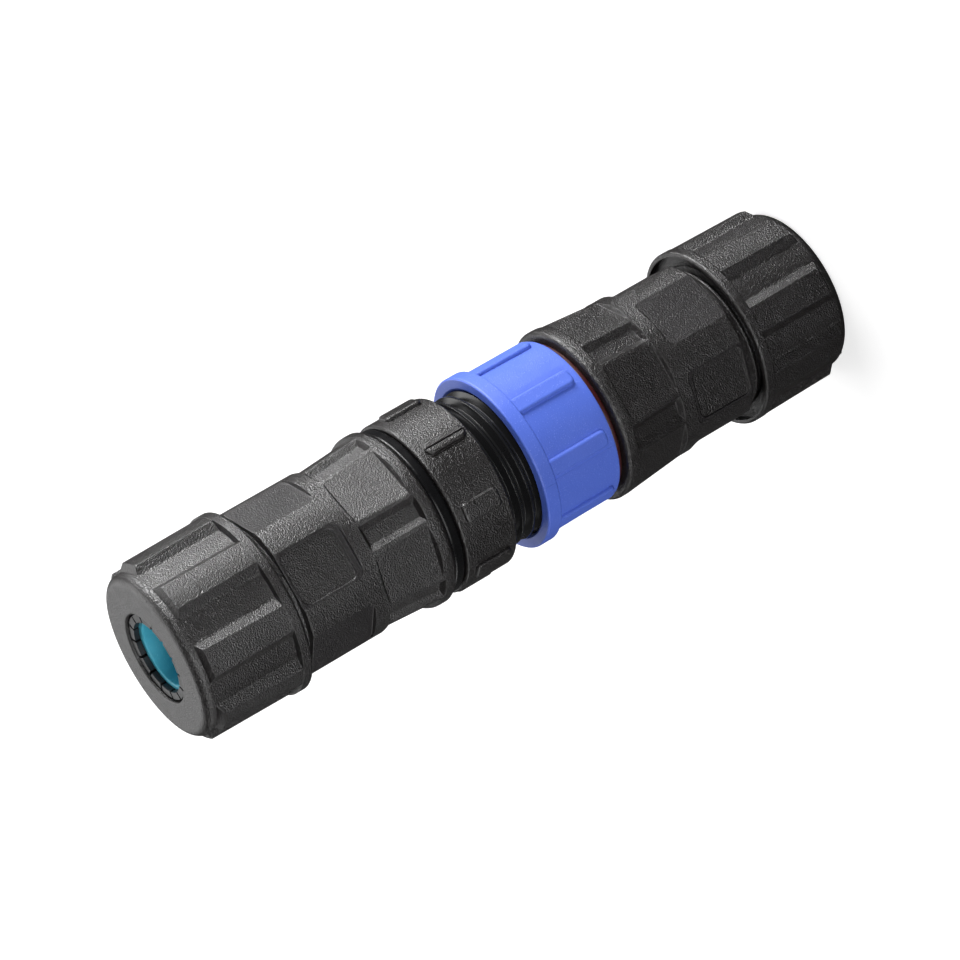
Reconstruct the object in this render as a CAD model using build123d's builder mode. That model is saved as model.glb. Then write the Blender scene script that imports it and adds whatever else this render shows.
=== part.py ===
from build123d import *
import os
from math import atan2, cos, radians, sin

os.makedirs("parts", exist_ok=True)

# A waterproof inline cable connector, standing on the plug's cable nut, axis along +Z.
# From the bottom: plug half, coupling nut, receptacle half. Millimetres.

# Lengths along the axis
cable_nut_length = 18.0
nut_to_shell_gap = 1.4
shell_length = 25.4
coupling_gap = 1.0
coupling_nut_length = 14.5
thread_exposed = 5.8
collar_length = 9.35
shell_gasket_thickness = 2.05

# Clearances
running_clearance = 0.05
nose_clearance = 0.08
cone_clearance = 0.2
claw_clearance = 0.15
axial_play = 0.1

# Small roundings
edge_rounding = 0.3
fine_rounding = 0.15

# Cable nut
clamp_thread_radius = 12.2
cable_nut_wall = 1.25
cable_nut_ridge_height = 1.4
cable_nut_ridge_draft = 0.2
cable_nut_ridge_slope = 0.7
cable_nut_rim_height = 0.1
cable_nut_rim_width = 1.75
cable_nut_rim_rounding = 0.4
cable_nut_nose_length = 1.7
cable_nut_nose_rounding = 1.5
cable_nut_grips = 8
cable_nut_pocket_angle = 29.0
cable_nut_floor_angle = 17.4
cable_nut_floor_rounding = 0.9
cable_nut_hole_radius = 7.35
cable_nut_hole_land = 1.3
cable_nut_cone_radius = 10.3
cable_nut_cone_depth = 7.4
cable_nut_mouth_radius = 14.2
cable_nut_mouth_depth = 1.2

# Rear shell, stations measured back from its front face
barrel_step = 1.45
lip_step = 0.9
lip_rounding = 0.7
lip_width = 1.6
bell_length = 12.4
bell_blend = 4.0
shell_sides = 6
facet_front_station = 2.6
facet_front_depth = 0.91
facet_front_ramp = 0.5
facet_rear_station = 11.8
facet_rear_depth = 0.62
facet_rear_ramp = 0.7
groove_front_station = 2.0
groove_length = 10.0
groove_width = 4.7
groove_floor_width = 2.2
groove_depth = 0.95
flat_station = 14.4
flat_depth = 0.83
flat_width = 9.7
flat_corner = 1.5
label_front_station = 15.3
label_length = 9.6
label_width = 8.5
label_corner = 1.2
label_depth = 0.3
shell_tail_height = 8.5
shell_cavity_step = 1.2
claw_seat_radius = 10.4
claw_seat_depth = 4.5
body_seat_depth = 9.0

# Clamp claw and cable seal
claw_fingers = 14
claw_slot_width = 0.45
claw_slot_end = 6.8
claw_tip_height = 0.4
claw_tip_length = 0.9
claw_tip_radius = 7.15
claw_hook_radius = 5.85
claw_hook_depth = 0.3
claw_flange_radius = 11.6
claw_flange_thickness = 0.9
claw_bore_radius = 8.5
claw_cone_end = 7.0
seal_bore_radius = 5.2
seal_rear_height = 12.4

# Front bodies
thread_radius = 12.5
shank_step = 1.7
insert_seat_radius = 8.95
thread_engaged = 4.2
thread_end_chamfer = 0.5
socket_depth = 14.2
web_thickness = 2.0
nose_radius = 9.6
nose_bore_radius = 8.0
nose_reach = 3.2
nose_rounding = 0.5
shoulder_step = 0.5
shoulder_thickness = 1.2
collar_step = 1.8
collar_rounding = 0.4
collar_ribs = 8
collar_rib_height = 0.62
collar_rib_width = 3.2
collar_rib_length = 6.5
collar_rib_inset = 1.4
collar_rib_corner = 0.7
collar_rib_rounding = 0.4
parting_rib_width = 2.3
parting_rib_length = 7.3
parting_rib_inset = 0.6
parting_line_width = 0.25

# Coupling nut
coupling_wall = 1.15
coupling_draft = 0.15
flange_height = 0.75
flange_thickness = 2.5
coupling_ribs = 8
coupling_rib_height = 0.55
coupling_rib_width = 2.8
coupling_rib_rounding = 0.45
coupling_rib_rear_inset = 1.3
coupling_web_thickness = 2.2
coupling_mouth_chamfer = 0.35

# Rings
gasket_recess = 0.4
gasket_rounding = 0.6
slip_ring_step = 0.4
interface_seal_thickness = 1.15

# Contacts and their carriers
contact_count = 3
contact_circle_radius = 4.6
contact_barrel_radius = 2.0
pin_radius = 1.25
contact_bore_radius = 1.3
wire_bore_depth = 5.0
socket_bore_depth = 8.0
tower_radius = 7.85
tower_recess = 2.2
carrier_face_thickness = 1.0
carrier_base_length = 7.0
pin_floor_depth = 9.0
pin_tip_recess = 2.7
pin_tip_rounding = 0.7
contact_tail = 4.0
screw_radius = 1.2
screw_length = 2.5
screw_seat = 0.9
screw_from_end = 2.1

# Clocking about the axis, degrees from +X
plug_nut_clocking = -39.5
plug_shell_clocking = -67.0
receptacle_nut_clocking = -7.5
receptacle_shell_clocking = -35.7
claw_clocking = 6.0
coupling_clocking = -11.0
collar_clocking = -7.5
contact_clocking = 90.0

# Radii that follow the coupling thread
body_shank_radius = thread_radius - shank_step
shell_cavity_radius = body_shank_radius - shell_cavity_step
shoulder_radius = thread_radius - shoulder_step
slip_ring_radius = thread_radius + slip_ring_step

# Stations up the axis
shell_barrel_end = cable_nut_length + nut_to_shell_gap
shell_front = shell_barrel_end + shell_length
coupling_rear = shell_front + coupling_gap
coupling_face = coupling_rear + coupling_nut_length
collar_front = coupling_face + thread_exposed
collar_rear = collar_front + collar_length
receptacle_shell_front = collar_rear + shell_gasket_thickness
overall_length = receptacle_shell_front + shell_front
thread_end = coupling_face - thread_engaged


def standing_plane(height, clocking):
    """Plane square to the axis, its x direction turned by the clocking."""
    angle = radians(clocking)
    return Plane(origin=(0, 0, height), x_dir=(cos(angle), sin(angle), 0), z_dir=(0, 0, 1))


def hanging_plane(height, clocking):
    """The same, looking down the axis."""
    angle = radians(clocking)
    return Plane(origin=(0, 0, height), x_dir=(cos(angle), sin(angle), 0), z_dir=(0, 0, -1))


def polar_point(radius, angle):
    """Point at this radius and angle in degrees."""
    return (radius * cos(radians(angle)), radius * sin(radians(angle)))


def turned(corners, centre=(0, 0, 0)):
    """Body of revolution about a vertical axis from (radius, height, rounding) corners."""
    profile_plane = Plane(origin=centre, x_dir=(1, 0, 0), z_dir=(0, -1, 0))
    with BuildPart() as body:
        with BuildSketch(profile_plane):
            with BuildLine():
                FilletPolyline(
                    [(radius, height) for radius, height, rounding in corners],
                    radius=[rounding for radius, height, rounding in corners],
                    close=True,
                )
            make_face()
        revolve(axis=Axis(centre, (0, 0, 1)))
    return body


# Cable nut, from its end face (height 0) to its mouth
thread_bore_radius = clamp_thread_radius + running_clearance
pocket_floor_radius = thread_bore_radius + cable_nut_wall
ridge_radius = pocket_floor_radius + cable_nut_ridge_height
rim_radius = ridge_radius + cable_nut_rim_height
mouth_floor = cable_nut_length - cable_nut_mouth_depth
rim_start = cable_nut_length - cable_nut_rim_width

cable_nut_blank = turned([
    (cable_nut_hole_radius, 0, edge_rounding),
    (pocket_floor_radius, 0, cable_nut_nose_rounding),
    (pocket_floor_radius, cable_nut_nose_length, 0),
    (ridge_radius - cable_nut_ridge_draft, cable_nut_nose_length + cable_nut_ridge_slope, 0),
    (ridge_radius, rim_start, 0),
    (rim_radius, rim_start, 0),
    (rim_radius, cable_nut_length, cable_nut_rim_rounding),
    (cable_nut_mouth_radius, cable_nut_length, 0),
    (cable_nut_mouth_radius, mouth_floor, 0),
    (thread_bore_radius, mouth_floor, 0),
    (thread_bore_radius, cable_nut_cone_depth, 0),
    (cable_nut_cone_radius, cable_nut_cone_depth, 0),
    (cable_nut_hole_radius, cable_nut_hole_land, 0),
])

with BuildPart() as pocket_cutter:
    floor_corner = Vector(*polar_point(pocket_floor_radius, cable_nut_floor_angle / 2))
    ridge_corner = Vector(*polar_point(ridge_radius, cable_nut_pocket_angle / 2))
    flank_end = ridge_corner + (ridge_corner - floor_corner)
    with BuildSketch(Plane.XY):
        with BuildLine():
            floor_arc = ThreePointArc(
                (floor_corner.X, -floor_corner.Y), (pocket_floor_radius, 0), (floor_corner.X, floor_corner.Y),
            )
            Polyline(floor_arc @ 1, (flank_end.X, flank_end.Y), (flank_end.X, -flank_end.Y), floor_arc @ 0)
        make_face()
        fillet(vertices().group_by(Axis.X)[0], radius=cable_nut_floor_rounding)
    extrude(amount=rim_start)

with BuildPart() as cable_nut:
    add(cable_nut_blank.part)
    # pockets between the grip ridges, open towards the rounded nose
    with PolarLocations(0, cable_nut_grips, start_angle=180 / cable_nut_grips):
        add(pocket_cutter.part, mode=Mode.SUBTRACT)

# Clamp claw: a base ring seated in the shell's tail, with spring fingers up to the nut's hole
cone_slope = (cable_nut_cone_radius - cable_nut_hole_radius) / (cable_nut_cone_depth - cable_nut_hole_land)
claw_flange_front = shell_tail_height - claw_flange_thickness
claw_shoulder = cable_nut_hole_land + claw_clearance
claw_cone_radius = claw_tip_radius + cone_slope * (claw_flange_front - claw_shoulder)
claw_base_radius = claw_seat_radius - running_clearance
claw_base_end = shell_tail_height + claw_seat_depth - axial_play
claw_hook_back = claw_tip_height + claw_tip_length
claw_inner_tip_radius = claw_hook_radius + claw_hook_depth

claw_blank = turned([
    (claw_hook_radius, claw_tip_height, 0),
    (claw_tip_radius, claw_tip_height, fine_rounding),
    (claw_tip_radius, claw_shoulder, 0),
    (claw_cone_radius, claw_flange_front, 0),
    (claw_flange_radius, claw_flange_front, 0),
    (claw_flange_radius, shell_tail_height, 0),
    (claw_base_radius, shell_tail_height, 0),
    (claw_base_radius, claw_base_end, 0),
    (claw_bore_radius, claw_base_end, 0),
    (claw_bore_radius, claw_cone_end, 0),
    (claw_inner_tip_radius, claw_hook_back, 0),
    (claw_hook_radius, claw_hook_back, 0),
])
with BuildPart() as clamp_claw:
    add(claw_blank.part)
    # slots that part the fingers
    with BuildSketch(Plane.XY):
        with PolarLocations(claw_bore_radius, claw_fingers):
            Rectangle(claw_flange_radius, claw_slot_width)
    extrude(amount=claw_slot_end, mode=Mode.SUBTRACT)

# Cable seal: a rubber sleeve held inside the claw
seal_tip_height = claw_hook_back + axial_play
cable_seal = turned([
    (seal_bore_radius, seal_tip_height, edge_rounding),
    (claw_inner_tip_radius - axial_play, seal_tip_height, 0),
    (claw_bore_radius - axial_play, claw_cone_end, 0),
    (claw_bore_radius - axial_play, seal_rear_height, 0),
    (seal_bore_radius, seal_rear_height, 0),
])

# Tools that shape the rear shell, each made towards +X
barrel_radius = clamp_thread_radius + barrel_step
lip_radius = barrel_radius + lip_step
flat_distance = barrel_radius - flat_depth


def panel_cutter(front_station, length, width, corner, floor_distance):
    """Flat-bottomed window with rounded corners, for the flats and the label panel."""
    with BuildPart() as cutter:
        with BuildSketch(Plane.YZ.offset(floor_distance)):
            with Locations((0, shell_front - front_station - length / 2)):
                RectangleRounded(width, length, corner)
        extrude(amount=lip_radius - floor_distance)
    return cutter


flat_length = shell_length - flat_station + flat_corner
side_cutter = panel_cutter(flat_station, flat_length, flat_width, flat_corner, flat_distance)
label_cutter = panel_cutter(
    label_front_station, label_length, label_width, label_corner, flat_distance - label_depth,
)

with BuildPart() as facet_cutter:
    outside = 2 * lip_radius - barrel_radius
    facet_front_distance = lip_radius - facet_front_depth
    facet_rear_distance = barrel_radius - facet_rear_depth
    facet_front = shell_front - facet_front_station
    facet_rear = shell_front - facet_rear_station
    with BuildSketch(Plane.XZ):
        with BuildLine():
            Polyline(
                (outside, facet_front + facet_front_ramp * (outside - facet_front_distance)),
                (facet_front_distance, facet_front),
                (facet_rear_distance, facet_rear),
                (outside, facet_rear - facet_rear_ramp * (outside - facet_rear_distance)),
                close=True,
            )
        make_face()
    extrude(amount=flat_width, both=True)

with BuildPart() as groove_cutter:
    tilt = atan2(lip_step, bell_length - lip_width)
    floor_radius = (lip_radius + barrel_radius) / 2 - groove_depth
    groove_plane = Plane(
        origin=(floor_radius, 0, shell_front - groove_front_station - groove_length / 2),
        x_dir=(sin(tilt), 0, cos(tilt)),
        z_dir=(cos(tilt), 0, -sin(tilt)),
    )
    flare = groove_width - groove_floor_width
    with BuildSketch(groove_plane):
        Rectangle(groove_length - flare / 2, groove_floor_width)
    with BuildSketch(groove_plane.offset(2 * groove_depth)):
        Rectangle(groove_length + flare / 2, groove_floor_width + 2 * flare)
    loft(ruled=True)

# Rear shell: threaded tail, barrel with six flats, conical bell with facets and grooves, front lip
shank_bore_radius = body_shank_radius + running_clearance
body_seat = shell_front - body_seat_depth
claw_seat_end = shell_tail_height + claw_seat_depth
rear_shell_blank = turned([
    (shank_bore_radius, shell_front, edge_rounding),
    (lip_radius, shell_front, lip_rounding),
    (lip_radius, shell_front - lip_width, 0),
    (barrel_radius, shell_front - bell_length, bell_blend),
    (barrel_radius, shell_barrel_end, edge_rounding),
    (clamp_thread_radius, shell_barrel_end, 0),
    (clamp_thread_radius, shell_tail_height, edge_rounding),
    (claw_seat_radius, shell_tail_height, 0),
    (claw_seat_radius, claw_seat_end, 0),
    (shell_cavity_radius, claw_seat_end, 0),
    (shell_cavity_radius, body_seat, 0),
    (shank_bore_radius, body_seat, 0),
])
with BuildPart() as rear_shell:
    add(rear_shell_blank.part)
    with PolarLocations(0, shell_sides):
        add(side_cutter.part, mode=Mode.SUBTRACT)
        add(groove_cutter.part, mode=Mode.SUBTRACT)
    with PolarLocations(0, shell_sides, start_angle=180 / shell_sides):
        add(facet_cutter.part, mode=Mode.SUBTRACT)
    add(label_cutter.part, mode=Mode.SUBTRACT)

# The four cable-end pieces stand at the plug end and hang, turned over, at the receptacle end
with BuildPart(standing_plane(0, plug_nut_clocking)) as plug_cable_nut:
    add(cable_nut.part)
with BuildPart(standing_plane(0, claw_clocking)) as plug_clamp_claw:
    add(clamp_claw.part)
with BuildPart(standing_plane(0, claw_clocking)) as plug_cable_seal:
    add(cable_seal.part)
with BuildPart(standing_plane(0, plug_shell_clocking)) as plug_rear_shell:
    add(rear_shell.part)
with BuildPart(hanging_plane(overall_length, receptacle_nut_clocking)) as receptacle_cable_nut:
    add(cable_nut.part)
with BuildPart(hanging_plane(overall_length, claw_clocking)) as receptacle_clamp_claw:
    add(clamp_claw.part)
with BuildPart(hanging_plane(overall_length, claw_clocking)) as receptacle_cable_seal:
    add(cable_seal.part)
with BuildPart(hanging_plane(overall_length, receptacle_shell_clocking)) as receptacle_rear_shell:
    add(rear_shell.part)

# Plug front body: shank in the shell, neck, shoulder that keeps the coupling nut, open nose
coupling_web_front = coupling_rear + coupling_web_thickness
shoulder_rear = coupling_web_front + axial_play
shoulder_front = shoulder_rear + shoulder_thickness
pin_floor = coupling_face - pin_floor_depth
plug_step = pin_floor - web_thickness * 2
nose_tip = coupling_face + nose_reach
plug_front_body = turned([
    (insert_seat_radius, body_seat, 0),
    (body_shank_radius, body_seat, edge_rounding),
    (body_shank_radius, shoulder_rear, 0),
    (shoulder_radius, shoulder_rear, fine_rounding),
    (shoulder_radius, shoulder_front, fine_rounding),
    (nose_radius, shoulder_front, 0),
    (nose_radius, nose_tip, nose_rounding),
    (nose_bore_radius, nose_tip, edge_rounding),
    (nose_bore_radius, plug_step, 0),
    (insert_seat_radius, plug_step, 0),
])

# Receptacle front body: threaded spigot, collar and shank in one moulding
receptacle_seat = receptacle_shell_front + body_seat_depth
socket_floor = thread_end + socket_depth
receptacle_step = socket_floor + web_thickness
socket_bore_radius = nose_radius + nose_clearance
web_bore_radius = tower_radius + cone_clearance / 2
collar_radius = thread_radius + collar_step
collar_blank = turned([
    (socket_bore_radius, thread_end, fine_rounding),
    (thread_radius - thread_end_chamfer, thread_end, 0),
    (thread_radius, thread_end + thread_end_chamfer, 0),
    (thread_radius, collar_front, 0),
    (collar_radius, collar_front, edge_rounding),
    (collar_radius, collar_rear, collar_rounding),
    (body_shank_radius, collar_rear, 0),
    (body_shank_radius, receptacle_seat, edge_rounding),
    (insert_seat_radius, receptacle_seat, 0),
    (insert_seat_radius, receptacle_step, 0),
    (web_bore_radius, receptacle_step, 0),
    (web_bore_radius, socket_floor, 0),
    (socket_bore_radius, socket_floor, 0),
])

# Collar ribs: six broad ones, and two slim ones on the parting plane of the mould
rib_root_radius = collar_radius - collar_rib_height
rib_rise = 2 * collar_rib_height
with BuildPart() as collar_rib:
    rib_front = collar_front + collar_rib_inset
    with BuildSketch(Plane.YZ.offset(rib_root_radius)):
        with Locations((0, rib_front + collar_rib_length / 2)):
            RectangleRounded(collar_rib_width, collar_rib_length, collar_rib_corner)
    extrude(amount=rib_rise)
    fillet(faces().sort_by(Axis.X)[-1].edges(), radius=collar_rib_rounding)

with BuildPart() as parting_rib:
    parting_rib_centre = collar_front + parting_rib_inset + parting_rib_length / 2
    with BuildSketch(Plane.YZ.offset(rib_root_radius)):
        with Locations((0, parting_rib_centre)):
            SlotOverall(parting_rib_length, parting_rib_width, rotation=90)
    extrude(amount=rib_rise)
    fillet(faces().sort_by(Axis.X)[-1].edges(), radius=collar_rib_rounding)
    with BuildSketch(Plane.YZ.offset(rib_root_radius + rib_rise)):
        with Locations((0, parting_rib_centre)):
            Rectangle(parting_line_width, parting_rib_length)
    extrude(amount=-parting_line_width, mode=Mode.SUBTRACT)

with BuildPart() as receptacle_front_body:
    add(collar_blank.part)
    rib_spots = PolarLocations(0, collar_ribs, start_angle=collar_clocking).locations
    for index, spot in enumerate(rib_spots):
        rib = parting_rib if index % (collar_ribs // 2) == 0 else collar_rib
        with Locations(spot):
            add(rib.part)

# Shell gaskets, and the ring that the receptacle's thread end presses on
ring_bore_radius = body_shank_radius + running_clearance
gasket_radius = collar_radius - gasket_recess
receptacle_shell_gasket = turned([
    (ring_bore_radius, collar_rear, 0),
    (gasket_radius, collar_rear, gasket_rounding),
    (gasket_radius, receptacle_shell_front, gasket_rounding),
    (ring_bore_radius, receptacle_shell_front, 0),
])
plug_shell_gasket = turned([
    (ring_bore_radius, shell_front, 0),
    (slip_ring_radius, shell_front, edge_rounding),
    (slip_ring_radius, coupling_rear - axial_play, edge_rounding),
    (ring_bore_radius, coupling_rear - axial_play, 0),
])
interface_seal_front = shoulder_front + interface_seal_thickness
interface_seal = turned([
    (nose_radius + running_clearance, shoulder_front, 0),
    (shoulder_radius - axial_play, shoulder_front, 0),
    (shoulder_radius - axial_play, interface_seal_front, edge_rounding),
    (nose_radius + running_clearance, interface_seal_front, edge_rounding),
])

# Coupling nut: flange at its face, thin ribs down its side, inner web behind the plug's shoulder
coupling_bore_radius = thread_radius + running_clearance
coupling_web_bore_radius = body_shank_radius + 2 * running_clearance
coupling_rear_radius = coupling_bore_radius + coupling_wall
coupling_front_radius = coupling_rear_radius + coupling_draft
coupling_mouth_radius = coupling_bore_radius + coupling_mouth_chamfer
flange_radius = coupling_front_radius + flange_height
flange_rear = coupling_face - flange_thickness
coupling_blank = turned([
    (coupling_web_bore_radius, coupling_rear, 0),
    (coupling_rear_radius, coupling_rear, edge_rounding),
    (coupling_front_radius, flange_rear, edge_rounding),
    (flange_radius, flange_rear, fine_rounding),
    (flange_radius, coupling_face, edge_rounding),
    (coupling_mouth_radius, coupling_face, 0),
    (coupling_bore_radius, coupling_face - coupling_mouth_chamfer, 0),
    (coupling_bore_radius, coupling_web_front, 0),
    (coupling_web_bore_radius, coupling_web_front, 0),
])
with BuildPart() as coupling_rib:
    rib_bottom = coupling_rear + coupling_rib_rear_inset
    rib_top = coupling_face - flange_thickness / 2
    rib_base_radius = coupling_bore_radius + coupling_wall / 2
    with BuildSketch(Plane.YZ.offset(rib_base_radius)):
        with Locations((0, (rib_bottom + rib_top) / 2)):
            Rectangle(coupling_rib_width, rib_top - rib_bottom)
        fillet(vertices().group_by(Axis.Y)[0], radius=coupling_rib_width / 3)
    extrude(amount=coupling_front_radius + coupling_rib_height - rib_base_radius)
    fillet(faces().sort_by(Axis.X)[-1].edges(), radius=coupling_rib_rounding)

with BuildPart() as coupling_nut:
    add(coupling_blank.part)
    with PolarLocations(0, coupling_ribs, start_angle=coupling_clocking):
        add(coupling_rib.part)

# Contact carriers
contact_hole_radius = contact_barrel_radius + running_clearance
carrier_base_radius = insert_seat_radius - running_clearance
tower_face = thread_end + tower_recess
receptacle_carrier_rear = receptacle_step + carrier_base_length
plug_carrier_rear = plug_step - carrier_base_length
receptacle_carrier_blank = turned([
    (0, tower_face, 0),
    (tower_radius, tower_face, edge_rounding),
    (tower_radius, receptacle_step, 0),
    (carrier_base_radius, receptacle_step, 0),
    (carrier_base_radius, receptacle_carrier_rear, 0),
    (0, receptacle_carrier_rear, 0),
])
with BuildPart() as receptacle_contact_insert:
    add(receptacle_carrier_blank.part)
    with BuildSketch(Plane.XY.offset(tower_face)):
        with PolarLocations(contact_circle_radius, contact_count, start_angle=contact_clocking):
            Circle(contact_bore_radius + 2 * running_clearance)
    extrude(amount=carrier_face_thickness, mode=Mode.SUBTRACT)
    with BuildSketch(Plane.XY.offset(tower_face + carrier_face_thickness)):
        with PolarLocations(contact_circle_radius, contact_count, start_angle=contact_clocking):
            Circle(contact_hole_radius)
    extrude(until=Until.LAST, mode=Mode.SUBTRACT)

plug_carrier_blank = turned([
    (0, plug_carrier_rear, 0),
    (carrier_base_radius, plug_carrier_rear, 0),
    (carrier_base_radius, plug_step, 0),
    (nose_bore_radius - running_clearance, plug_step, 0),
    (nose_bore_radius - running_clearance, pin_floor, edge_rounding),
    (0, pin_floor, 0),
])
with BuildPart() as plug_contact_insert:
    add(plug_carrier_blank.part)
    with BuildSketch(Plane.XY.offset(pin_floor)):
        with PolarLocations(contact_circle_radius, contact_count, start_angle=contact_clocking):
            Circle(pin_radius + running_clearance)
    extrude(amount=-carrier_face_thickness, mode=Mode.SUBTRACT)
    with BuildSketch(Plane.XY.offset(pin_floor - carrier_face_thickness)):
        with PolarLocations(contact_circle_radius, contact_count, start_angle=contact_clocking):
            Circle(contact_hole_radius)
    extrude(amount=-(plug_step + web_thickness * 2 - plug_carrier_rear), mode=Mode.SUBTRACT)

# Contacts: turned pins and sockets, each with a wire bore and a radial clamping screw
pin_tip = nose_tip - pin_tip_recess
pin_root = pin_floor - carrier_face_thickness
pin_tail = plug_carrier_rear - contact_tail
socket_mouth = tower_face + carrier_face_thickness
socket_tail = receptacle_carrier_rear + contact_tail
plug_screw_height = pin_tail + screw_from_end
receptacle_screw_height = socket_tail - screw_from_end


def contact_centre(index):
    """Axis point and outward direction of one contact."""
    angle = radians(contact_clocking + 360 * index / contact_count)
    return Vector(contact_circle_radius * cos(angle), contact_circle_radius * sin(angle), 0)


def screw_plane(index, height):
    """Plane of a screw's inner end, facing outwards."""
    centre = contact_centre(index)
    outward = centre.normalized()
    return Plane(origin=centre + outward * screw_seat + Vector(0, 0, height), z_dir=outward)


def pin_contact(index):
    """Solid pin in front, barrel with a wire bore behind."""
    blank = turned([
        (0, pin_tip, 0),
        (pin_radius, pin_tip, pin_tip_rounding),
        (pin_radius, pin_root, 0),
        (contact_barrel_radius, pin_root, 0),
        (contact_barrel_radius, pin_tail, 0),
        (contact_bore_radius, pin_tail, 0),
        (contact_bore_radius, pin_tail + wire_bore_depth, 0),
        (0, pin_tail + wire_bore_depth, 0),
    ], tuple(contact_centre(index)))
    with BuildPart() as contact:
        add(blank.part)
        with BuildSketch(screw_plane(index, plug_screw_height)):
            Circle(screw_radius + running_clearance)
        extrude(amount=contact_barrel_radius, mode=Mode.SUBTRACT)
    return contact


def socket_contact(index):
    """Barrel bored for the pin in front and for the wire behind."""
    blank = turned([
        (0, socket_mouth + socket_bore_depth, 0),
        (contact_bore_radius, socket_mouth + socket_bore_depth, 0),
        (contact_bore_radius, socket_mouth, 0),
        (contact_barrel_radius, socket_mouth, 0),
        (contact_barrel_radius, socket_tail, 0),
        (contact_bore_radius, socket_tail, 0),
        (contact_bore_radius, socket_tail - wire_bore_depth, 0),
        (0, socket_tail - wire_bore_depth, 0),
    ], tuple(contact_centre(index)))
    with BuildPart() as contact:
        add(blank.part)
        with BuildSketch(screw_plane(index, receptacle_screw_height)):
            Circle(screw_radius + running_clearance)
        extrude(amount=contact_barrel_radius, mode=Mode.SUBTRACT)
    return contact


def terminal_screws(height):
    """The identical grub screws of one half."""
    with BuildPart() as screws:
        for index in range(contact_count):
            with BuildSketch(screw_plane(index, height)):
                Circle(screw_radius)
            extrude(amount=screw_length)
            with BuildSketch(screw_plane(index, height).offset(screw_length)):
                Rectangle(screw_radius * 2, screw_radius / 3)
            extrude(amount=-screw_radius / 2, mode=Mode.SUBTRACT)
    return screws


pieces = {
    "plug_cable_nut": plug_cable_nut,
    "plug_clamp_claw": plug_clamp_claw,
    "plug_cable_seal": plug_cable_seal,
    "plug_rear_shell": plug_rear_shell,
    "plug_shell_gasket": plug_shell_gasket,
    "plug_front_body": plug_front_body,
    "plug_contact_insert": plug_contact_insert,
    "plug_terminal_screws": terminal_screws(plug_screw_height),
    "interface_seal": interface_seal,
    "coupling_nut": coupling_nut,
    "receptacle_front_body": receptacle_front_body,
    "receptacle_shell_gasket": receptacle_shell_gasket,
    "receptacle_contact_insert": receptacle_contact_insert,
    "receptacle_terminal_screws": terminal_screws(receptacle_screw_height),
    "receptacle_rear_shell": receptacle_rear_shell,
    "receptacle_clamp_claw": receptacle_clamp_claw,
    "receptacle_cable_seal": receptacle_cable_seal,
    "receptacle_cable_nut": receptacle_cable_nut,
}
for index in range(contact_count):
    pieces[f"plug_pin_contact_{index + 1}"] = pin_contact(index)
    pieces[f"receptacle_socket_contact_{index + 1}"] = socket_contact(index)

for name, piece in pieces.items():
    piece.part.label = name
    export_step(piece.part, f"parts/{name}.step")
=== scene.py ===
import bpy
import bmesh
import math
from mathutils import Matrix, Vector


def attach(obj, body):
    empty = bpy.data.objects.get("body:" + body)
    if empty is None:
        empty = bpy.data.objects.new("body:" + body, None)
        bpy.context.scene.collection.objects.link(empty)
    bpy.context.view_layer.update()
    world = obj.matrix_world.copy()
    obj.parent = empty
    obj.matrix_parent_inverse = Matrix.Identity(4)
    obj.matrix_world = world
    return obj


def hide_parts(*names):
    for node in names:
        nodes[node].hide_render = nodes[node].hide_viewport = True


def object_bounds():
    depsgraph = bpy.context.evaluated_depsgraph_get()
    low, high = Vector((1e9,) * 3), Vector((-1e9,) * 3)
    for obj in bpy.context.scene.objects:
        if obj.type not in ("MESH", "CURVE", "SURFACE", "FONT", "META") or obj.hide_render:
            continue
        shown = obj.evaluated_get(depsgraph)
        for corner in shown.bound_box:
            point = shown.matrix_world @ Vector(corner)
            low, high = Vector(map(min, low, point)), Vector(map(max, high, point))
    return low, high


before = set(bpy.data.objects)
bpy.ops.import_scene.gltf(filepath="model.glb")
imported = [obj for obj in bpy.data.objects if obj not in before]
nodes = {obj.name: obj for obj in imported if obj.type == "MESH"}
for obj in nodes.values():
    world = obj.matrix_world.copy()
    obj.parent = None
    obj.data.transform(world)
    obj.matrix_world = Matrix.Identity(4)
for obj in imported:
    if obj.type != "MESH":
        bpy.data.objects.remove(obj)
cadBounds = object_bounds()
mm = 0.001
print("frame loaded:", len(nodes), "nodes")

# The connector stands on its plug end. Angles are degrees about +Z from +X, lengths are millimetres.

camera = {
    "place": (473.25, -320.12, 306.16),
    "lookAlong": (-0.76339, 0.51381, -0.39146),
    "pictureUp": (1, 0, 0),          # the connector's +X side is up in the picture
    "lens": 153.0,
    "sensor": 36.0,
    "near": 0.01,
    "far": 20,
}


def makeCamera():
    data = bpy.data.cameras.new("pictureCamera")
    data.lens = camera["lens"]
    data.sensor_width = camera["sensor"]
    data.clip_start = camera["near"]
    data.clip_end = camera["far"]
    forward = Vector(camera["lookAlong"]).normalized()
    up = Vector(camera["pictureUp"])
    up = (up - forward * up.dot(forward)).normalized()
    right = forward.cross(up)
    turn = Matrix((right, up, -forward)).transposed().to_4x4()
    cam = bpy.data.objects.new("pictureCamera", data)
    cam.matrix_world = Matrix.Translation(Vector(camera["place"]) * mm) @ turn
    bpy.context.scene.collection.objects.link(cam)
    bpy.context.scene.camera = cam


makeCamera()
bpy.context.scene.view_settings.view_transform = "Standard"
print("camera set")

# Studio: a pale floor and five softboxes, in metres and watts. The key stands low on the +X side, so that
# the black mouldings shine there. The fill lights the -Y side, the card -X, end and rear the upper faces

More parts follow.
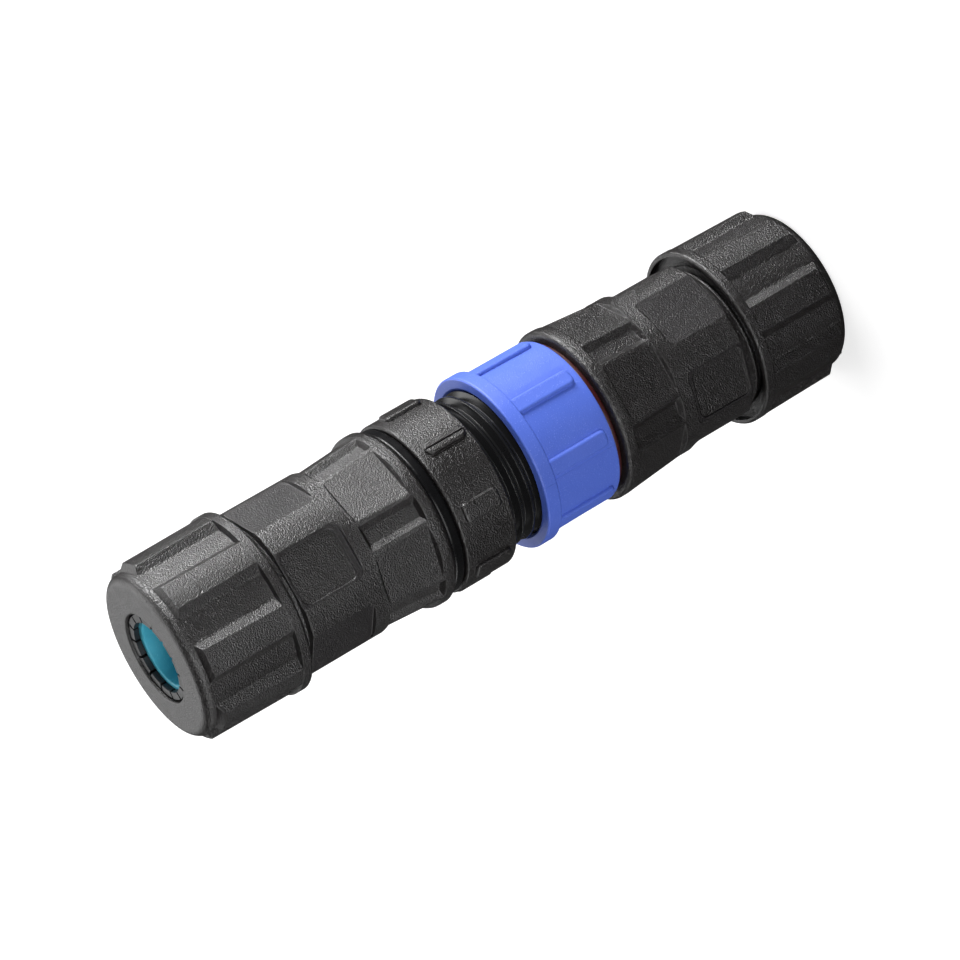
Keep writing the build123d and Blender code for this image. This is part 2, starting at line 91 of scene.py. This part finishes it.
studio = {
    "floorRadius": 1.4,
    "floorSides": 64,
    "floorDrop": 0.0002,
    "floorColour": (0.86, 0.86, 0.86),
    "floorRoughness": 0.9,
    "floorSpecular": 0.1,
    "floorBounce": (0.07, 0.07, 0.07),      # what the object itself gets back from the floor
    "floorGlow": 0.55,
    "worldStrength": 0.05,
}
lamps = {      # turn is degrees clockwise from +X seen from above, rise is degrees over the floor
    "key": {"turn": -46, "rise": 2.5, "away": 0.9, "size": (0.8, 0.18), "power": 17.5},
    "fill": {"turn": 66, "rise": 17, "away": 0.9, "size": (0.8, 0.5), "power": 6.2},
    "card": {"turn": 140, "rise": 8, "away": 0.9, "size": (0.6, 0.3), "power": 1.5},
    "end": {"turn": 214, "rise": 23, "away": 0.9, "size": (0.6, 0.4), "power": 1.1},
    "rear": {"turn": 255, "rise": 48, "away": 0.9, "size": (0.8, 0.8), "power": 5.0},
}
aimPoint = Vector((0, 0, 0.061))       # near the middle of the connector


def makeLamps():
    for name, lamp in lamps.items():
        data = bpy.data.lights.new(name + "Lamp", "AREA")
        data.shape = "RECTANGLE"
        data.size, data.size_y = lamp["size"]
        data.energy = lamp["power"]
        turn, rise = math.radians(-lamp["turn"]), math.radians(lamp["rise"])
        way = Vector((math.cos(turn) * math.cos(rise), math.sin(turn) * math.cos(rise), math.sin(rise)))
        obj = bpy.data.objects.new(name + "Lamp", data)
        obj.location = aimPoint + way * lamp["away"]
        obj.rotation_euler = way.to_track_quat("Z", "Y").to_euler()
        bpy.context.scene.collection.objects.link(obj)


def makeWorld():
    world = bpy.data.worlds.new("studioWorld")
    bpy.context.scene.world = world
    world.use_nodes = True
    tree = world.node_tree
    tree.nodes.clear()
    out = tree.nodes.new("ShaderNodeOutputWorld")
    white = tree.nodes.new("ShaderNodeBackground")
    white.inputs["Color"].default_value = (1, 1, 1, 1)
    white.inputs["Strength"].default_value = 1.0
    soft = tree.nodes.new("ShaderNodeBackground")
    soft.inputs["Color"].default_value = (1, 1, 1, 1)
    soft.inputs["Strength"].default_value = studio["worldStrength"]
    path = tree.nodes.new("ShaderNodeLightPath")
    mix = tree.nodes.new("ShaderNodeMixShader")
    tree.links.new(path.outputs["Is Camera Ray"], mix.inputs[0])
    tree.links.new(soft.outputs[0], mix.inputs[1])
    tree.links.new(white.outputs[0], mix.inputs[2])
    tree.links.new(mix.outputs[0], out.inputs["Surface"])


def makeFloor():
    mesh = bpy.data.meshes.new("studioFloor")
    bm = bmesh.new()
    bmesh.ops.create_circle(bm, cap_ends=True, radius=studio["floorRadius"], segments=studio["floorSides"])
    bm.to_mesh(mesh)
    bm.free()
    floor = bpy.data.objects.new("studioFloor", mesh)
    floor.location.z = -studio["floorDrop"]
    bpy.context.scene.collection.objects.link(floor)
    mat = bpy.data.materials.new("studioPaper")
    mat.use_nodes = True
    tree = mat.node_tree
    paper = tree.nodes["Principled BSDF"]
    paper.inputs["Base Color"].default_value = (*studio["floorColour"], 1)
    paper.inputs["Roughness"].default_value = studio["floorRoughness"]
    paper.inputs["Specular IOR Level"].default_value = studio["floorSpecular"]
    bounce = tree.nodes.new("ShaderNodeBsdfDiffuse")
    bounce.inputs["Color"].default_value = (*studio["floorBounce"], 1)
    seen = tree.nodes.new("ShaderNodeMixShader")
    glow = tree.nodes.new("ShaderNodeEmission")
    glow.inputs["Color"].default_value = (1, 1, 1, 1)
    path = tree.nodes.new("ShaderNodeLightPath")
    amount = tree.nodes.new("ShaderNodeMath")
    amount.operation = "MULTIPLY"
    amount.inputs[1].default_value = studio["floorGlow"]
    both = tree.nodes.new("ShaderNodeAddShader")
    tree.links.new(path.outputs["Is Camera Ray"], amount.inputs[0])
    tree.links.new(amount.outputs[0], glow.inputs["Strength"])
    tree.links.new(path.outputs["Is Camera Ray"], seen.inputs[0])
    tree.links.new(bounce.outputs[0], seen.inputs[1])
    tree.links.new(paper.outputs[0], seen.inputs[2])
    tree.links.new(seen.outputs[0], both.inputs[0])
    tree.links.new(glow.outputs[0], both.inputs[1])
    tree.links.new(both.outputs[0], tree.nodes["Material Output"].inputs["Surface"])
    mesh.materials.append(mat)


makeLamps()
makeWorld()
makeFloor()
print("studio ready")

# Shader groups that several finishes share


def newGroup(name, inputs, outputs):
    group = bpy.data.node_groups.new(name, "ShaderNodeTree")
    for label in inputs:
        group.interface.new_socket(label, in_out="INPUT", socket_type="NodeSocketFloat")
    for label, kind in outputs.items():
        group.interface.new_socket(label, in_out="OUTPUT", socket_type="NodeSocket" + kind)
    return group, group.nodes.new("NodeGroupInput"), group.nodes.new("NodeGroupOutput")


def mathNode(tree, operation, first, second=None, third=None):
    node = tree.nodes.new("ShaderNodeMath")
    node.operation = operation
    for place, value in enumerate((first, second, third)):
        if isinstance(value, bpy.types.NodeSocket):
            tree.links.new(value, node.inputs[place])
        elif value is not None:
            node.inputs[place].default_value = value
    return node.outputs[0]


def noiseNode(tree, where, scale, detail, roughness=0.5):
    node = tree.nodes.new("ShaderNodeTexNoise")
    node.inputs["Detail"].default_value = detail
    node.inputs["Roughness"].default_value = roughness
    tree.links.new(where, node.inputs["Vector"])
    if isinstance(scale, bpy.types.NodeSocket):
        tree.links.new(scale, node.inputs["Scale"])
    else:
        node.inputs["Scale"].default_value = scale
    return node.outputs["Fac"]


def spreadNode(tree, value, low, high, toLow=0.0, toHigh=1.0):
    node = tree.nodes.new("ShaderNodeMapRange")
    node.clamp = True
    for label, number in (("From Min", low), ("From Max", high), ("To Min", toLow), ("To Max", toHigh)):
        node.inputs[label].default_value = number
    tree.links.new(value, node.inputs["Value"])
    return node.outputs["Result"]


grain = {
    "reach": 0.9,            # share of a cell that its dome covers
    "lowest": 0.35,          # height of the flattest domes
    "fineness": 1.7,         # how much finer the roughness on the domes is
    "fineDetail": 1.0,
    "fineShare": 0.5,
    # the next two values pick the tallest domes, which get the painted glint colour
    "glintFrom": 0.55,
    "glintTo": 0.8,
}


def makeGrainGroup():
    # spark-eroded mould grain: Height for the bump; Fleck marks the tallest grains, which get a lighter
    # colour as painted glints standing in for the sparkle of the grain
    group, inputs, outputs = newGroup("mouldGrain", ("Scale",), {"Height": "Float", "PaintedGlint": "Float"})
    where = group.nodes.new("ShaderNodeTexCoord").outputs["Object"]
    cells = group.nodes.new("ShaderNodeTexVoronoi")
    group.links.new(where, cells.inputs["Vector"])
    group.links.new(inputs.outputs["Scale"], cells.inputs["Scale"])
    dome = spreadNode(group, cells.outputs["Distance"], 0.0, grain["reach"], 1.0, 0.0)
    pick = group.nodes.new("ShaderNodeSeparateColor")
    group.links.new(cells.outputs["Color"], pick.inputs["Color"])
    tall = spreadNode(group, pick.outputs["Red"], 0.0, 1.0, grain["lowest"], 1.0)
    fineScale = mathNode(group, "MULTIPLY", inputs.outputs["Scale"], grain["fineness"])
    fine = noiseNode(group, where, fineScale, grain["fineDetail"])
    domes = mathNode(group, "MULTIPLY", dome, tall)
    height = mathNode(group, "MULTIPLY_ADD", fine, grain["fineShare"], domes)
    paintedGlint = spreadNode(group, domes, grain["glintFrom"], grain["glintTo"])
    group.links.new(height, outputs.inputs["Height"])
    group.links.new(paintedGlint, outputs.inputs["PaintedGlint"])
    return group


edges = {
    "samples": 6,
    "bendFrom": 0.03,        # how far the softened normal turns before a corner counts as rubbed
    "bendTo": 0.3,
    "patchScale": 900.0,
    "patchDetail": 3.0,
    "patchFrom": 0.35,
    "patchTo": 0.65,
}


def makeEdgeGroup():
    # softened corner normal, and a mask of the corners that handling rubs
    group, inputs, outputs = newGroup(
        "softEdge", ("Radius", "Amount"), {"Rubbed": "Float", "Corner": "Vector"})
    bevel = group.nodes.new("ShaderNodeBevel")
    bevel.samples = edges["samples"]
    group.links.new(inputs.outputs["Radius"], bevel.inputs["Radius"])
    facing = group.nodes.new("ShaderNodeNewGeometry").outputs["Normal"]
    compare = group.nodes.new("ShaderNodeVectorMath")
    compare.operation = "DOT_PRODUCT"
    group.links.new(bevel.outputs["Normal"], compare.inputs[0])
    group.links.new(facing, compare.inputs[1])
    turned = mathNode(group, "SUBTRACT", 1.0, compare.outputs["Value"])
    bend = spreadNode(group, turned, edges["bendFrom"], edges["bendTo"])
    where = group.nodes.new("ShaderNodeTexCoord").outputs["Object"]
    patchNoise = noiseNode(group, where, edges["patchScale"], edges["patchDetail"])
    patchy = spreadNode(group, patchNoise, edges["patchFrom"], edges["patchTo"])
    worn = mathNode(group, "MULTIPLY", bend, patchy)
    rubbed = mathNode(group, "MULTIPLY", worn, inputs.outputs["Amount"])
    group.links.new(rubbed, outputs.inputs["Rubbed"])
    group.links.new(bevel.outputs["Normal"], outputs.inputs["Corner"])
    return group


clouds = {
    "scale": 90.0,
    "detail": 4.0,
    "roughness": 0.6,
    "from": 0.3,
    "to": 0.7,
    "smudgeFineness": 3.5,
    "smudgeDetail": 5.0,
    "smudgeRoughness": 0.65,
    "smudgeFrom": 0.35,
    "smudgeTo": 0.7,
}


def makeCloudGroup():
    # slow changes of shade and gloss, as flow and handling leave on moulded plastic
    group, inputs, outputs = newGroup("slowCloud", ("Scale",), {"Cloud": "Float", "Smudge": "Float"})
    where = group.nodes.new("ShaderNodeTexCoord").outputs["Object"]
    cloudNoise = noiseNode(group, where, inputs.outputs["Scale"], clouds["detail"], clouds["roughness"])
    smudgeScale = mathNode(group, "MULTIPLY", inputs.outputs["Scale"], clouds["smudgeFineness"])
    smudgeNoise = noiseNode(group, where, smudgeScale, clouds["smudgeDetail"], clouds["smudgeRoughness"])
    cloud = spreadNode(group, cloudNoise, clouds["from"], clouds["to"])
    smudge = spreadNode(group, smudgeNoise, clouds["smudgeFrom"], clouds["smudgeTo"])
    group.links.new(cloud, outputs.inputs["Cloud"])
    group.links.new(smudge, outputs.inputs["Smudge"])
    return group


marks = {
    "seamCore": 0.4,         # share of the seam's width where its line is full
    "flatCore": 0.8,
    "flatSlack": 0.1,        # how far off its distance a flat may lie, in millimetres
}


def makeSeamGroup():
    # thin line where the two mould halves met: a plane through the axis, square to the given direction
    group, inputs, outputs = newGroup("mouldSeam", ("AcrossX", "AcrossY", "Width"), {"Line": "Float"})
    where = group.nodes.new("ShaderNodeSeparateXYZ")
    group.links.new(group.nodes.new("ShaderNodeTexCoord").outputs["Object"], where.inputs[0])
    alongX = mathNode(group, "MULTIPLY", where.outputs["X"], inputs.outputs["AcrossX"])
    offPlane = mathNode(group, "MULTIPLY_ADD", where.outputs["Y"], inputs.outputs["AcrossY"], alongX)
    ratio = mathNode(group, "DIVIDE", mathNode(group, "ABSOLUTE", offPlane), inputs.outputs["Width"])
    group.links.new(spreadNode(group, ratio, marks["seamCore"], 1.0, 1.0, 0.0), outputs.inputs["Line"])
    return group


def makeFlatGroup():
    # picks out the plane faces that lie at one distance from the axis
    group, inputs, outputs = newGroup("flatFace", ("Distance", "Slack"), {"Mask": "Float"})
    facing = group.nodes.new("ShaderNodeVectorTransform")
    facing.vector_type = "NORMAL"
    facing.convert_from = "WORLD"
    facing.convert_to = "OBJECT"
    group.links.new(group.nodes.new("ShaderNodeNewGeometry").outputs["True Normal"], facing.inputs[0])
    compare = group.nodes.new("ShaderNodeVectorMath")
    compare.operation = "DOT_PRODUCT"
    group.links.new(group.nodes.new("ShaderNodeTexCoord").outputs["Object"], compare.inputs[0])
    group.links.new(facing.outputs[0], compare.inputs[1])
    gap = mathNode(group, "SUBTRACT", compare.outputs["Value"], inputs.outputs["Distance"])
    ratio = mathNode(group, "DIVIDE", mathNode(group, "ABSOLUTE", gap), inputs.outputs["Slack"])
    group.links.new(spreadNode(group, ratio, marks["flatCore"], 1.0, 1.0, 0.0), outputs.inputs["Mask"])
    return group


def makeTurningGroup():
    # fine rings left by turning, about a vertical axis through the piece
    group, inputs, outputs = newGroup("turnedRings", ("Scale",), {"Height": "Float"})
    where = group.nodes.new("ShaderNodeSeparateXYZ")
    group.links.new(group.nodes.new("ShaderNodeTexCoord").outputs["Object"], where.inputs[0])
    rise = mathNode(group, "MULTIPLY", where.outputs["Z"], inputs.outputs["Scale"])
    wave = mathNode(group, "SINE", rise)
    group.links.new(spreadNode(group, wave, -1.0, 1.0), outputs.inputs["Height"])
    return group


grainGroup = makeGrainGroup()
edgeGroup = makeEdgeGroup()
cloudGroup = makeCloudGroup()
seamGroup = makeSeamGroup()
flatGroup = makeFlatGroup()
turningGroup = makeTurningGroup()
print("shader groups built")


def placeGroup(tree, group, **values):
    node = tree.nodes.new("ShaderNodeGroup")
    node.node_tree = group
    for label, value in values.items():
        node.inputs[label].default_value = value
    return node


def mixColour(tree, amount, first, second, blend="MIX"):
    node = tree.nodes.new("ShaderNodeMix")
    node.data_type = "RGBA"
    node.blend_type = blend
    tree.links.new(amount, node.inputs["Factor"])
    for label, colour in (("A", first), ("B", second)):
        socket = next(s for s in node.inputs if s.name == label and s.type == "RGBA")
        if isinstance(colour, bpy.types.NodeSocket):
            tree.links.new(colour, socket)
        else:
            socket.default_value = (*colour, 1)
    return next(s for s in node.outputs if s.type == "RGBA")


def bumpNode(tree, height, strength, distance, normal):
    node = tree.nodes.new("ShaderNodeBump")
    node.inputs["Strength"].default_value = strength
    node.inputs["Distance"].default_value = distance
    tree.links.new(height, node.inputs["Height"])
    tree.links.new(normal, node.inputs["Normal"])
    return node.outputs["Normal"]


relief = {
    "seamStrength": 0.8,
    "ringStrength": 0.3,
    "ringHeight": 0.01,
}


def makeFinish(name, finish):
    # colours are linear, roughness runs from clean to smudged, lengths are millimetres
    mat = bpy.data.materials.new(name)
    mat.use_nodes = True
    tree = mat.node_tree
    shader = tree.nodes["Principled BSDF"]
    shader.inputs["Specular IOR Level"].default_value = finish.get("specular", 0.5)
    shader.inputs["Metallic"].default_value = finish.get("metal", 0.0)
    cloud = placeGroup(tree, cloudGroup, Scale=clouds["scale"])
    edge = placeGroup(tree, edgeGroup, Radius=finish["edgeRadius"] * mm, Amount=finish["edgeWear"])
    colour = mixColour(tree, cloud.outputs["Cloud"], finish["colour"], finish["shade"])
    normal = edge.outputs["Corner"]
    if "grain" in finish:
        grains = placeGroup(tree, grainGroup, Scale=finish["grain"])
        paintedGlint, height = grains.outputs["PaintedGlint"], grains.outputs["Height"]
        if "flats" in finish:
            # the flats come from a smoother part of the mould
            distance, slack = finish["flats"] * mm, marks["flatSlack"] * mm
            flat = placeGroup(tree, flatGroup, Distance=distance, Slack=slack)
            keep = spreadNode(tree, flat.outputs["Mask"], 0.0, 1.0, 1.0, finish["flatGrain"])
            paintedGlint = mathNode(tree, "MULTIPLY", paintedGlint, keep)
            height = mathNode(tree, "MULTIPLY", height, keep)
            colour = mixColour(tree, flat.outputs["Mask"], colour, finish["flatColour"])
        # painted glints: the tallest grains get a lighter colour, standing in for the sparkle of lit grain
        colour = mixColour(tree, paintedGlint, colour, finish["paintedGlint"])
        normal = bumpNode(tree, height, finish["grainStrength"], finish["grainDepth"] * mm, normal)
    if "seam" in finish:
        angle = math.radians(finish["seam"])
        acrossX, acrossY = math.sin(angle), -math.cos(angle)
        width, height = finish["seamWidth"] * mm, finish["seamHeight"] * mm
        seam = placeGroup(tree, seamGroup, AcrossX=acrossX, AcrossY=acrossY, Width=width)
        colour = mixColour(tree, seam.outputs["Line"], colour, finish["shade"])
        normal = bumpNode(tree, seam.outputs["Line"], relief["seamStrength"], height, normal)
    if "rings" in finish:
        rings = placeGroup(tree, turningGroup, Scale=finish["rings"])
        height = relief["ringHeight"] * mm
        normal = bumpNode(tree, rings.outputs["Height"], relief["ringStrength"], height, normal)
    colour = mixColour(tree, edge.outputs["Rubbed"], colour, finish["rubbed"])
    tree.links.new(colour, shader.inputs["Base Color"])
    gloss = spreadNode(tree, cloud.outputs["Smudge"], 0.0, 1.0, *finish["roughness"])
    tree.links.new(gloss, shader.inputs["Roughness"])
    tree.links.new(normal, shader.inputs["Normal"])
    return mat


# the lighter grain colour in each finish is a painted glint, laid on the tallest grains
blackMoulding = {
    "colour": (0.0085, 0.0071, 0.0072), "shade": (0.0065, 0.0053, 0.0054),
    "paintedGlint": (0.034, 0.029, 0.028), "rubbed": (0.035, 0.032, 0.032),
    "roughness": (0.3, 0.38), "specular": 0.78, "edgeRadius": 0.25, "edgeWear": 0.5,
    "grain": 4400.0, "grainStrength": 1.0,
}
finishes = {
    "nut_black": {**blackMoulding, "grainDepth": 0.09},
    "shell_black": {
        **blackMoulding, "grainDepth": 0.095,
        "flats": 12.82, "flatGrain": 0.6, "flatColour": (0.0095, 0.008, 0.0088),
    },
    "collar_black": {
        **blackMoulding, "grainDepth": 0.08,
        "paintedGlint": (0.03, 0.026, 0.025), "edgeRadius": 0.2, "edgeWear": 0.6,
        "seam": -7.5, "seamWidth": 0.12, "seamHeight": 0.05,
    },
    "thread_gloss": {
        "colour": (0.009, 0.009, 0.0095), "shade": (0.007, 0.007, 0.0075),
        "rubbed": (0.04, 0.04, 0.042), "roughness": (0.2, 0.3), "edgeRadius": 0.08, "edgeWear": 0.3,
    },
    "claw_black": {
        "colour": (0.018, 0.018, 0.019), "shade": (0.014, 0.014, 0.015), "paintedGlint": (0.03, 0.03, 0.031),
        "rubbed": (0.045, 0.045, 0.046), "roughness": (0.38, 0.5), "edgeRadius": 0.1, "edgeWear": 0.6,
        "grain": 5200.0, "grainStrength": 0.25, "grainDepth": 0.02,
    },
    "carrier_black": {
        "colour": (0.022, 0.022, 0.024), "shade": (0.017, 0.017, 0.019), "paintedGlint": (0.035, 0.035, 0.037),
        "rubbed": (0.05, 0.05, 0.052), "roughness": (0.4, 0.52), "edgeRadius": 0.12, "edgeWear": 0.5,
        "grain": 5200.0, "grainStrength": 0.25, "grainDepth": 0.02,
    },
    "gasket_black": {
        "colour": (0.005, 0.005, 0.0055), "shade": (0.004, 0.004, 0.0045), "paintedGlint": (0.008, 0.008, 0.009),
        "rubbed": (0.009, 0.009, 0.01), "roughness": (0.24, 0.34), "edgeRadius": 0.1, "edgeWear": 0.2,
        "grain": 2600.0, "grainStrength": 0.06, "grainDepth": 0.02, "specular": 0.22,
    },
    "ring_red": {
        "colour": (0.045, 0.004, 0.004), "shade": (0.03, 0.003, 0.003), "paintedGlint": (0.06, 0.008, 0.008),
        "rubbed": (0.08, 0.01, 0.01), "roughness": (0.35, 0.5), "edgeRadius": 0.06, "edgeWear": 0.3,
        "grain": 4000.0, "grainStrength": 0.15, "grainDepth": 0.02,
    },
    "seal_teal": {
        "colour": (0.1, 0.56, 0.72), "shade": (0.085, 0.51, 0.67), "paintedGlint": (0.14, 0.62, 0.78),
        "rubbed": (0.3, 0.72, 0.8), "roughness": (0.4, 0.55), "edgeRadius": 0.12, "edgeWear": 0.6,
        "grain": 3600.0, "grainStrength": 0.12, "grainDepth": 0.02,
    },
    "nut_blue": {
        "colour": (0.088, 0.162, 0.67), "shade": (0.08, 0.148, 0.63), "paintedGlint": (0.17, 0.26, 0.8),
        "rubbed": (0.1, 0.17, 0.75), "roughness": (0.4, 0.52), "edgeRadius": 0.25, "edgeWear": 0.6,
        "grain": 4400.0, "grainStrength": 0.6, "grainDepth": 0.04,
        "seam": -64.5, "seamWidth": 0.12, "seamHeight": 0.05,
    },
    "contact_brass": {
        "colour": (0.72, 0.5, 0.2), "shade": (0.64, 0.43, 0.16), "rubbed": (0.85, 0.66, 0.35),
        "roughness": (0.22, 0.34), "edgeRadius": 0.08, "edgeWear": 0.5, "metal": 1.0, "rings": 26000.0,
    },
    "screw_steel": {
        "colour": (0.55, 0.55, 0.55), "shade": (0.47, 0.47, 0.48), "rubbed": (0.75, 0.75, 0.75),
        "roughness": (0.25, 0.38), "edgeRadius": 0.06, "edgeWear": 0.5, "metal": 1.0, "rings": 26000.0,
    },
}
materials = {name: makeFinish(name, finish) for name, finish in finishes.items()}
print("finishes made:", len(materials))

nodeFinish = {
    "plug_cable_nut": "nut_black", "receptacle_cable_nut": "nut_black",
    "plug_rear_shell": "shell_black", "receptacle_rear_shell": "shell_black",
    "plug_clamp_claw": "claw_black", "receptacle_clamp_claw": "claw_black",
    "plug_cable_seal": "seal_teal", "receptacle_cable_seal": "seal_teal",
    "plug_front_body": "carrier_black", "receptacle_front_body": "collar_black",
    "plug_contact_insert": "carrier_black", "receptacle_contact_insert": "carrier_black",
    "plug_shell_gasket": "ring_red", "receptacle_shell_gasket": "gasket_black",
    "interface_seal": "gasket_black", "coupling_nut": "nut_blue",
    "plug_terminal_screws": "screw_steel", "receptacle_terminal_screws": "screw_steel",
}
for index in (1, 2, 3):
    nodeFinish[f"plug_pin_contact_{index}"] = "contact_brass"
    nodeFinish[f"receptacle_socket_contact_{index}"] = "contact_brass"
for name, obj in nodes.items():
    for slot in obj.material_slots:
        slot.material = materials[nodeFinish[name]]
print("CAD nodes dressed")

# Threads: 2 mm pitch, right-handed, cut into the plain cylinders of the solids

thread = {
    "pitch": 2.0,
    "depth": 1.1,
    "crestShare": 0.15,      # flat share of half a pitch, at crest and root
    "steps": 144,            # steps round one turn
    "rows": 12,              # rows in one pitch
    "runOut": 0.9,           # length over which the groove fades at each end
    "ridgeSlack": 0.1,       # how much slimmer the nut's ridge is than the groove
    "ridgeClearance": 0.1,   # how much lower the nut's ridge is than the groove is deep
    "skin": 0.01,            # how far the nut's ridge starts inside the plain bore
    "sharpAngle": 38,
    "weld": 1e-7,
    "wallSlack": 0.03,       # reach of the search for the plain wall that a thread takes the place of
    "wallTilt": 0.2,         # a wall's normal rises or falls by less than this
}


def smoothStep(value):
    value = min(1.0, max(0.0, value))
    return value * value * (3 - 2 * value)


def grooveShare(turnShare, slack=0.0):
    # 0 at the crest, 1 at the root; turnShare runs 0 to 1 along one pitch with the root at 0.5
    fromRoot = abs(turnShare - 0.5) * 2
    flat = thread["crestShare"]
    return min(1.0, max(0.0, (1 - flat - slack - fromRoot) / (1 - 2 * flat)))


def threadMesh(name, low, high, radiusAt, inward):
    # rows follow the helix, so crest and root stay crisp; each row is clamped to the thread's ends
    pitch, steps, rows = thread["pitch"], thread["steps"], thread["rows"]
    firstTurn = math.floor(low / pitch) - 1
    turns = math.ceil(high / pitch) + 1 - firstTurn
    bm = bmesh.new()
    grid = []
    for step in range(steps):
        angle = 2 * math.pi * step / steps
        column = []
        for row in range(turns * rows + 1):
            height = pitch * (firstTurn + row / rows + step / steps)
            clamped = min(high, max(low, height))
            radius = radiusAt((row % rows) / rows, clamped, clamped != height)
            column.append(bm.verts.new(
                (radius * math.cos(angle) * mm, radius * math.sin(angle) * mm, clamped * mm)))
        grid.append(column)
    for step in range(steps):
        here = grid[step]
        there = grid[(step + 1) % steps]
        shift = rows if step == steps - 1 else 0
        for row in range(turns * rows):
            if row + shift + 1 > turns * rows:
                continue
            corners = [here[row], there[row + shift], there[row + shift + 1], here[row + 1]]
            if inward:
                corners.reverse()
            bm.faces.new(corners)
    bmesh.ops.remove_doubles(bm, verts=bm.verts, dist=thread["weld"])
    bmesh.ops.dissolve_degenerate(bm, edges=bm.edges, dist=thread["weld"])
    loose = [v for v in bm.verts if not v.link_faces]
    bmesh.ops.delete(bm, geom=loose, context="VERTS")
    mesh = bpy.data.meshes.new(name)
    bm.to_mesh(mesh)
    bm.free()
    mesh.shade_smooth()
    mesh.set_sharp_from_angle(angle=math.radians(thread["sharpAngle"]))
    return mesh


def fadeAt(height, low, high):
    return smoothStep((height - low) / thread["runOut"]) * smoothStep((high - height) / thread["runOut"])


def externalThread(name, low, high, crest, finish, body):
    def radiusAt(share, height, clamped):
        if clamped:
            return crest
        return crest - thread["depth"] * grooveShare(share) * fadeAt(height, low, high)
    mesh = threadMesh(name, low, high, radiusAt, False)
    return addPiece(name, mesh, finish, body)


def internalThread(name, low, high, bore, finish, body):
    # the ridge stands inwards from a skin just inside the plain bore
    skin = bore - thread["skin"]
    ridgeHeight = thread["depth"] - thread["ridgeClearance"]

    def radiusAt(share, height, clamped):
        if clamped:
            return skin
        return skin - ridgeHeight * grooveShare(share, thread["ridgeSlack"]) * fadeAt(height, low, high)
    mesh = threadMesh(name, low, high, radiusAt, True)
    return addPiece(name, mesh, finish, body)


def addPiece(name, mesh, finish, body):
    obj = bpy.data.objects.new(name, mesh)
    bpy.context.scene.collection.objects.link(obj)
    mesh.materials.clear()
    mesh.materials.append(materials[finish])
    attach(obj, body)
    return obj


def withoutCylinder(name, node, radius, low, high, finish, body):
    # the node's own shape, less the plain cylinder that the real thread takes the place of
    mesh = nodes[node].data.copy()
    mesh.name = name
    bm = bmesh.new()
    bm.from_mesh(mesh)
    slack = thread["wallSlack"]
    gone = []
    for face in bm.faces:
        places = [(math.hypot(v.co.x, v.co.y) / mm, v.co.z / mm) for v in face.verts]
        onWall = all(abs(r - radius) < slack and low - slack < z < high + slack for r, z in places)
        if onWall and abs(face.normal.z) < thread["wallTilt"]:
            gone.append(face)
    bmesh.ops.delete(bm, geom=gone, context="FACES")
    print(name, "faces replaced:", len(gone))
    bm.to_mesh(mesh)
    bm.free()
    obj = addPiece(name, mesh, finish, body)
    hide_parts(node)
    return obj


overall = round(cadBounds[1][2] / mm, 3)
couplingThread = {"crest": 12.5, "low": 56.6, "high": 66.1}
nutThread = {"bore": 12.55, "low": 48.0, "high": 59.95}
clampThread = {"crest": 12.2, "low": 8.8, "high": 19.4}           # heights are the plug end's
clampNutThread = {"bore": 12.25, "low": 7.4, "high": 16.8}

collar = withoutCylinder(
    "receptacleCollar", "receptacle_front_body", couplingThread["crest"],
    couplingThread["low"], couplingThread["high"], "collar_black", "receptacle_half")
spigot = externalThread(
    "spigotThread", couplingThread["low"], couplingThread["high"], couplingThread["crest"],
    "thread_gloss", "receptacle_half")
nutRidge = internalThread(
    "couplingNutThread", nutThread["low"], nutThread["high"], nutThread["bore"], "nut_blue", "coupling")

for half, body, nutBody in (
        ("plug", "plug_half", "plug_nut"), ("receptacle", "receptacle_half", "receptacle_nut")):
    low, high = clampThread["low"], clampThread["high"]
    nutLow, nutHigh = clampNutThread["low"], clampNutThread["high"]
    if half == "receptacle":
        low, high = overall - high, overall - low
        nutLow, nutHigh = overall - nutHigh, overall - nutLow
    shell = withoutCylinder(
        half + "Shell", half + "_rear_shell", clampThread["crest"], low, high, "shell_black", body)
    tail = externalThread(half + "TailThread", low, high, clampThread["crest"], "shell_black", body)
    ridge = internalThread(
        half + "NutThread", nutLow, nutHigh, clampNutThread["bore"], "nut_black", nutBody)
print("threads cut")
